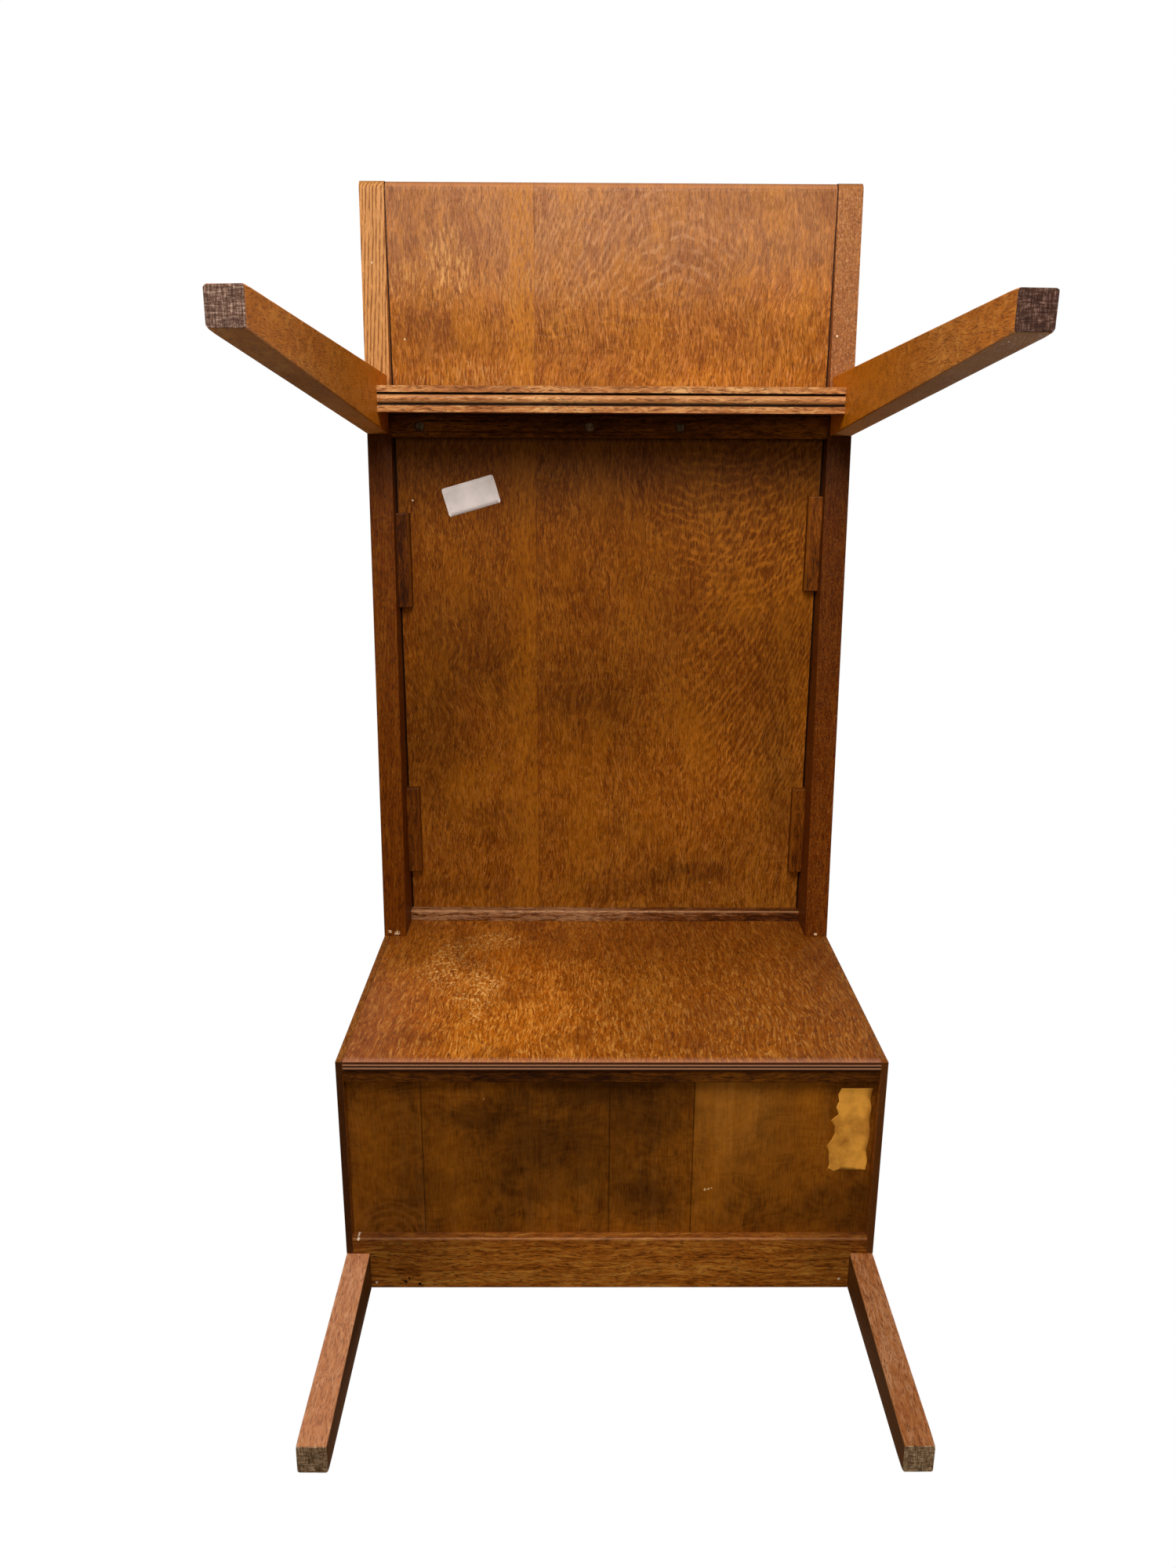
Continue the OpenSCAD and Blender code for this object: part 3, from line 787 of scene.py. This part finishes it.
def slice_of(node, height):
    """Least and most X, and least and most Y, of a CAD node's cut at one height."""
    mesh = NODES[node].data
    hits = []
    for edge in mesh.edges:
        a, b = (mesh.vertices[i].co for i in edge.vertices)
        if (a.z - height) * (b.z - height) < 0:
            hits.append(a.lerp(b, (height - a.z) / (b.z - a.z)))
    across, deep = [p.x for p in hits], [p.y for p in hits]
    return min(across), max(across), min(deep), max(deep)


def ring_of(box, radius, height, sides=5):
    """Points round a rectangle with rounded corners."""
    x0, x1, y0, y1 = box[0] + radius, box[1] - radius, box[2] + radius, box[3] - radius
    points = []
    for corner, (x, y) in enumerate(((x1, y1), (x0, y1), (x0, y0), (x1, y0))):
        for i in range(sides + 1):
            turn = math.radians(90 * corner + 90 * i / sides)
            across, deep = radius * math.cos(turn), radius * math.sin(turn)
            points.append(Vector((x + across, y + deep, height)))
    return points


def board_edge(x):
    """Height of the side boards' lower edge, on which the short legs' sloping tops lie."""
    corners = [vert.co for vert in NODES["short_leg_back"].data.vertices]
    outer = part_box("bottom_rail")[1].x
    high = max(corners, key=lambda co: co.z)
    low = max((co for co in corners if abs(co.x - outer) < 1e-4), key=lambda co: co.z)
    return high.z + (high.z - low.z) / (high.x - low.x) * (x - high.x)


def leg(node, seed, materials):
    """A tapered leg with softened arrises, a chewed, rounded foot and a sloping top."""
    rng = random.Random(seed)
    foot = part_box(node)[0].z
    # the last level ring, half a millimetre under the lowest corner of the sloping top
    outer = slice_of(node, UNDER_Z - 0.1)[1] + 0.006
    top = board_edge(outer) - 0.5 * MM - foot
    shifts = [Vector((rng.uniform(-1, 1), rng.uniform(-1, 1), 0)) for _ in range(40)]
    bm = bmesh.new()
    levels = [0.0, 0.0012, 0.003, 0.006, 0.012, 0.022]  # close together at the foot
    last = levels[-1]
    levels += [last + (top - last) * i / 24 for i in range(1, 25)]
    rings = []
    for level in levels:
        box = slice_of(node, max(level, 0.5 * MM))
        wear = max(0.0, 1 - level / FOOT)
        inset = 0.5 * MM * max(0.0, 1 - level / 0.004) ** 2  # the sole's rounded rim
        box = (box[0] + inset, box[1] - inset, box[2] + inset, box[3] - inset)
        points = ring_of(box, ARRIS + 0.0012 * wear, foot + level)
        middle = Vector(((box[0] + box[1]) / 2, (box[2] + box[3]) / 2, foot + level))
        for i, point in enumerate(points):
            rough = noise.noise(point * 160 + Vector((seed, 0, 0))) * 0.0006 * (0.25 + wear)
            chip = noise.noise(point * 60 + Vector((seed * 3, 0, 0))) - 0.25
            chip = max(0.0, chip) * 0.004 * wear
            pull = (middle - point).normalized() * (abs(rough) + chip)
            point += pull + shifts[i % 40] * 0.00005
        rings.append([bm.verts.new(p) for p in points])
    rings.append([bm.verts.new((p.x, p.y, board_edge(p.x))) for p in points])
    for below, above in zip(rings, rings[1:]):
        for i in range(len(below)):
            j = (i + 1) % len(below)
            bm.faces.new((below[i], below[j], above[j], above[i]))
    sole = bm.faces.new(list(reversed(rings[0])))
    bm.faces.new(rings[-1])
    sole.material_index = 1
    for face in bm.faces:
        face.smooth = len(face.verts) == 4
        if face.smooth and face.calc_center_median().z < foot + 1.5 * MM:
            face.material_index = 1
    piece = solid(node + "_worn", bm)
    for material in materials:
        piece.data.materials.append(material)
    piece.modifiers.new("normals", "WEIGHTED_NORMAL").keep_sharp = True
    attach(piece, CARCASS)
    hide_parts(node)


def label(name, outline, height, thick, material, lift=None):
    """A thin sheet of paper on a face that looks down, its outline in X and Y."""
    bm = bmesh.new()
    face = bm.faces.new([bm.verts.new((x, y, height)) for x, y in outline])
    bmesh.ops.triangulate(bm, faces=[face])
    bmesh.ops.subdivide_edges(bm, edges=bm.edges[:], cuts=5, use_grid_fill=True)
    bmesh.ops.recalc_face_normals(bm, faces=bm.faces[:])
    for vert in bm.verts:
        wave = 0.0001 * (1 + noise.noise(vert.co * 90))
        vert.co.z -= 0.00012 + wave + (lift(vert.co) if lift else 0.0)
    piece = solid(name, bm)
    piece.data.shade_smooth()
    piece.data.materials.append(material)
    skin = piece.modifiers.new("skin", "SOLIDIFY")
    skin.thickness = thick
    skin.offset = 0
    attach(piece, CARCASS)


def lot_label():
    """The blank white label stuck askew near the back glue block."""
    length, width, corner = 0.072, 0.038, 0.003
    centre = Vector((-0.274, 0.184, 0))
    turn = Matrix.Rotation(math.radians(74), 3, "Z")
    outline = []
    for sign_x, sign_y, start in ((1, 1, 0), (-1, 1, 90), (-1, -1, 180), (1, -1, 270)):
        for i in range(4):
            angle = math.radians(start + 30 * i)
            point = Vector((
                sign_x * (length / 2 - corner) + corner * math.cos(angle),
                sign_y * (width / 2 - corner) + corner * math.sin(angle),
                0,
            ))
            outline.append(tuple((centre + turn @ point).xy))

    tip = centre + turn @ Vector((-length / 2, width / 2, 0))

    def curl(place):
        return 0.0035 * max(0.0, 1 - (place.xy - tip.xy).length / 0.02) ** 2

    white = paper("label_paper", "e2d8d6", "d0c6c4", 0.15)
    label("lot_label", outline, UNDER_Z, 0.0001, white, curl)


def torn_label():
    """What is left of an old brown label on the bottom panel."""
    rng = random.Random(8)
    x0, x1 = WALL_X + 0.040, WALL_X + 0.150
    y0, y1 = -0.303, -0.249
    outline = []
    for i in range(9):  # its straight edge, then its ragged end, then its torn edge
        outline.append((x0 + (x1 - x0) * i / 8, y0 + rng.uniform(0.0, 0.003)))
    for i in range(6):
        outline.append((x1 + rng.uniform(-0.004, 0.002), y0 + (y1 - y0) * (i + 1) / 7))
    for i in range(14):
        torn = y1 - 0.004 - 0.012 * i / 13 + rng.uniform(-0.004, 0.004)
        outline.append((x1 - (x1 - x0) * i / 13, torn))
    brown = paper("old_label", "f8ae44", "b87628", 0.6)
    label("torn_label", outline, PANEL_Z, 0.00012, brown)


def build():
    """Gives every CAD node its looks, and adds the worn legs and the labels."""
    top_back = oak(
        "oak_top_back", "X", "743604", "9e590e", "bf7b26", 1.7,
        dashes=0.9, clouds=0.5, flecks=0.3, shade=top_shade,
    )
    top_front = oak(
        "oak_top_front", "X", "763806", "a05b10", "c37f2a", 6.1,
        dashes=0.9, clouds=0.5, flecks=0.4, shade=top_shade,
    )
    side_back = oak(
        "oak_side_back", "X", "7a3c0c", "a86420", "c98a40", 3.3,
        dashes=0.9, streaks=0.7, clouds=0.5, flecks=0.2, shade=back_board_shade,
    )
    side_front = oak(
        "oak_side_front", "X", "783a0c", "a5601e", "c6863c", 9.2,
        dashes=1.1, clouds=0.5, flecks=0.3, shade=front_board_shade,
    )
    leg_oak = oak(
        "oak_leg", "Z", "924c0c", "b4681c", "cc8a3c", 4.4,
        dashes=0.7, clouds=0.7, flecks=0.15, shade=tall_leg_shade,
    )
    short_oak = oak(
        "oak_short_leg", "Z", "96501e", "c47c40", "e2a878", 2.6,
        dashes=1.3, clouds=0.7, flecks=0.1, gloss=0.58, shade=short_leg_shade,
    )
    rail_oak = oak("oak_rail", "Y", "804820", "b47440", "d8a268", 2.2, flecks=0.1, shade=reed_shade)
    low_rail = oak(
        "oak_low_rail", "Y", "5c2c08", "a45c18", "c48434", 7.7,
        dashes=1.2, streaks=1.0, clouds=0.4, flecks=0.0, shade=rail_shade,
    )
    apron = oak("oak_apron", "Y", "7a3c0c", "a66220", "c8883c", 5.5, clouds=0.4, flecks=0.3)
    door = oak(
        "oak_door", "Z", "7c3e0c", "a8641f", "ca8a3e", 8.8,
        dashes=1.1, clouds=0.4, flecks=0.4,
    )
    turned = oak("oak_turned", "X", "5a2a08", "804614", "9c6020", 1.1, flecks=0.0, gloss=0.3)
    inner = oak(
        "oak_inner", "Y", "301402", "542a03", "744008", 5.2,
        flecks=0.0, gloss=0.6, edge="6a3a0c",
    )
    block = oak(
        "oak_block", "X", "441e02", "7a3e06", "985612", 5.9,
        flecks=0.0, gloss=0.5, edge="905416",
    )
    dark_block = oak(
        "oak_dark_block", "X", "361602", "5c2b03", "7c430a", 6.3,
        flecks=0.0, gloss=0.5, edge="7a4410",
    )
    cleat = oak(
        "oak_cleat", "Y", "401c08", "763f16", "ac7c56", 3.9,
        streaks=1.0, flecks=0.0, gloss=0.3,
    )
    wall = oak(
        "oak_wall", "Z", "7e3a04", "b2600e", "cc8022", 12.4,
        dashes=0.45, streaks=0.2, clouds=0.7, flecks=0.0, shade=wall_shade,
    )
    side = oak(
        "oak_side_panel", "Z", "703608", "9c581a", "be7e36", 13.5,
        dashes=1.1, clouds=0.4, flecks=0.3, edge="6a3c14", shade=side_shade,
    )
    bottom = ply("stained_ply", "4a2403", "7c4407", "98590f", 3.0, panel_shade)
    shelf = ply("shelf_ply", "6a3c10", "925c20", "b07c38", 6.0)
    soles = {
        # painted light: the tall back leg's sole is paler than the tall front one's, as if lit from
        # the back
        "tall_leg_back": end_grain("end_grain_lit_back", "30201a", "5c4236", "ac9284"),
        "tall_leg_front": end_grain("end_grain_shaded_front", "22120e", "42291f", "866a5e"),
        "short_leg_back": end_grain("end_grain_c", "3c2a18", "8c6e50", "dcc0a0"),
        "short_leg_front": end_grain("end_grain_d", "463220", "9c7c5a", "e8ccac"),
    }
    brass = metal("old_brass", "d8b468", "a07e40", 0.4, 0.6)
    steel = metal("old_steel", "94785a", "40301f", 0.55, 0.4)
    plan = {  # each node's material, and its bevel in millimetres
        "top_plank_back": (top_back, 0.7),
        "top_plank_front": (top_front, 0.7),
        "side_board_back": (side_back, 1.3),
        "side_board_front": (side_front, 1.3),
        "reeded_rail": (rail_oak, 0.8),
        "rail_batten": (inner, 0.8),
        "batten_screws": (steel, 0.15),
        "top_cleat": (cleat, 2.5),
        "inner_wall": (wall, 0.8),
        "bottom_panel": (bottom, 0.5),
        "bottom_cleat": (inner, 0.8),
        "bottom_rail": (low_rail, 1.0),
        "end_apron": (apron, 1.2),
        "door_stop": (block, 1.0),
        "shelf": (shelf, 0.8),
    }
    for end in ("outer", "inner"):
        plan[f"glue_block_back_{end}"] = (dark_block, 1.2)
        plan[f"glue_block_front_{end}"] = (block, 1.2)
    for side_name in SIDES:
        plan[f"side_panel_{side_name}"] = (side, 0.8)
        plan[f"panel_cleat_{side_name}"] = (block, 1.0)
        plan[f"shelf_bearer_{side_name}"] = (block, 1.0)
        plan[f"door_{side_name}"] = (door, 1.2)
        plan[f"knob_{side_name}"] = (turned, 0.5)
        for part in HINGE_PARTS:
            plan[f"{part}_{side_name}"] = (brass, 0.15)
    for node, (material, bevel) in plan.items():
        dress(node, material, bevel * MM)
    for i, side_name in enumerate(SIDES):
        leg("tall_leg_" + side_name, 11 + i, (leg_oak, soles["tall_leg_" + side_name]))
        leg("short_leg_" + side_name, 21 + i, (short_oak, soles["short_leg_" + side_name]))
    lot_label()
    torn_label()


# ---- stage, lights and camera ----


def pale_floor():
    """A pale floor that fades into the white, and is clear from underneath."""
    bm = bmesh.new()
    bmesh.ops.create_grid(bm, x_segments=1, y_segments=1, size=9.0)
    floor = solid("floor", bm)
    floor.location.z = CAD_BOX[0].z
    graph = Graph("pale_floor", Base_Color=(0.80, 0.79, 0.78, 1.0), Roughness=0.8)
    far = graph.node("ShaderNodeVectorMath", {0: graph.place()}, operation="LENGTH")
    far = graph.step(far.outputs["Value"], 0.7, 2.6)
    under = graph.node("ShaderNodeNewGeometry").outputs["Backfacing"]
    clear = graph.node("ShaderNodeBsdfTransparent").outputs[0]
    shaders = {0: graph.larger(far, under), 1: graph.shader.outputs[0], 2: clear}
    graph.feed(graph.surface, graph.node("ShaderNodeMixShader", shaders).outputs[0])
    floor.data.materials.append(graph.material)
    floor.visible_shadow = False
    floor.visible_diffuse = False
    floor.visible_glossy = False


def lamp(name, place, target, size, watts, colour=(1, 1, 1), shine=True):
    """A disc of light. Without shine it lights surfaces but isn't mirrored in them."""
    data = bpy.data.lights.new(name, "AREA")
    data.shape = "DISK"
    data.size = size
    data.energy = watts
    data.color = colour
    light = bpy.data.objects.new(name, data)
    light.location = place
    light.rotation_euler = (Vector(target) - Vector(place)).to_track_quat("-Z", "Y").to_euler()
    light.visible_glossy = shine
    bpy.context.scene.collection.objects.link(light)


def sky():
    """White behind the desk. As light, soft white from above, which nothing mirrors."""
    world = bpy.data.worlds.new("studio")
    world.use_nodes = True
    tree = world.node_tree
    tree.nodes.clear()
    seen, fill, way, part, rise, matt, soft, path, mix, out = (
        tree.nodes.new("ShaderNode" + kind)
        for kind in (
            "Background", "Background", "TexCoord", "SeparateXYZ", "MapRange",
            "Math", "Math", "LightPath", "MixShader", "OutputWorld",
        )
    )
    seen.inputs["Color"].default_value = (1, 1, 1, 1)
    fill.inputs["Color"].default_value = (1.0, 0.98, 0.95, 1)
    for socket, value in (("From Min", 0.65), ("From Max", 1.0), ("To Min", 0.04), ("To Max", 0.9)):
        rise.inputs[socket].default_value = value
    link = tree.links.new
    link(way.outputs["Generated"], part.inputs[0])
    link(part.outputs["Z"], rise.inputs["Value"])
    matt.operation, soft.operation = "SUBTRACT", "MULTIPLY"
    matt.inputs[0].default_value = 1.0
    link(path.outputs["Is Glossy Ray"], matt.inputs[1])
    link(matt.outputs[0], soft.inputs[0])
    link(rise.outputs[0], soft.inputs[1])
    link(soft.outputs[0], fill.inputs["Strength"])
    link(path.outputs["Is Camera Ray"], mix.inputs[0])
    link(fill.outputs[0], mix.inputs[1])
    link(seen.outputs[0], mix.inputs[2])
    link(mix.outputs[0], out.inputs[0])
    bpy.context.scene.world = world


def stage():
    """The floor, the sky, and lamps below and above it."""
    pale_floor()
    sky()
    lamp("key_below", (-1.3, 0.05, -0.55), (-0.2, 0.0, 0.6), 0.9, 26, (1.0, 0.96, 0.9))
    lamp("fill_below", (-0.6, 0.15, -1.7), (0.2, 0.0, 0.4), 1.0, 15, (1.0, 0.92, 0.8), shine=False)
    lamp("key_above", (0.45, -2.7, 2.6), (0, 0, 0.4), 1.6, 95, (1.0, 0.98, 0.95))
    lamp("back_above", (0.45, 2.7, 2.2), (0, 0, 0.4), 1.8, 50)
    lamp("end_above", (3.2, 0.0, 0.9), (0.6, 0, 0.5), 1.6, 40, shine=False)


def camera():
    """Looks up at the underside from below the kneehole, the free end uppermost.

    Its place, its directions and its lens come from the perspective fit to the photo.
    """
    data = bpy.data.cameras.new("camera")
    data.lens = 27.21
    data.sensor_width = 36
    eye = bpy.data.objects.new("camera", data)
    forward = Vector((0.27923, -0.0071, 0.9602)).normalized()
    up = Vector((-0.96021, 0.0025, 0.27925))
    right = forward.cross(up).normalized()
    up = right.cross(forward)
    eye.matrix_world = Matrix((right, up, -forward)).transposed().to_4x4()
    eye.location = (-0.3471, 0.0380, -0.9459)
    bpy.context.scene.collection.objects.link(eye)
    bpy.context.scene.camera = eye


bpy.context.scene.view_settings.view_transform = "Standard"
build()
stage()
camera()
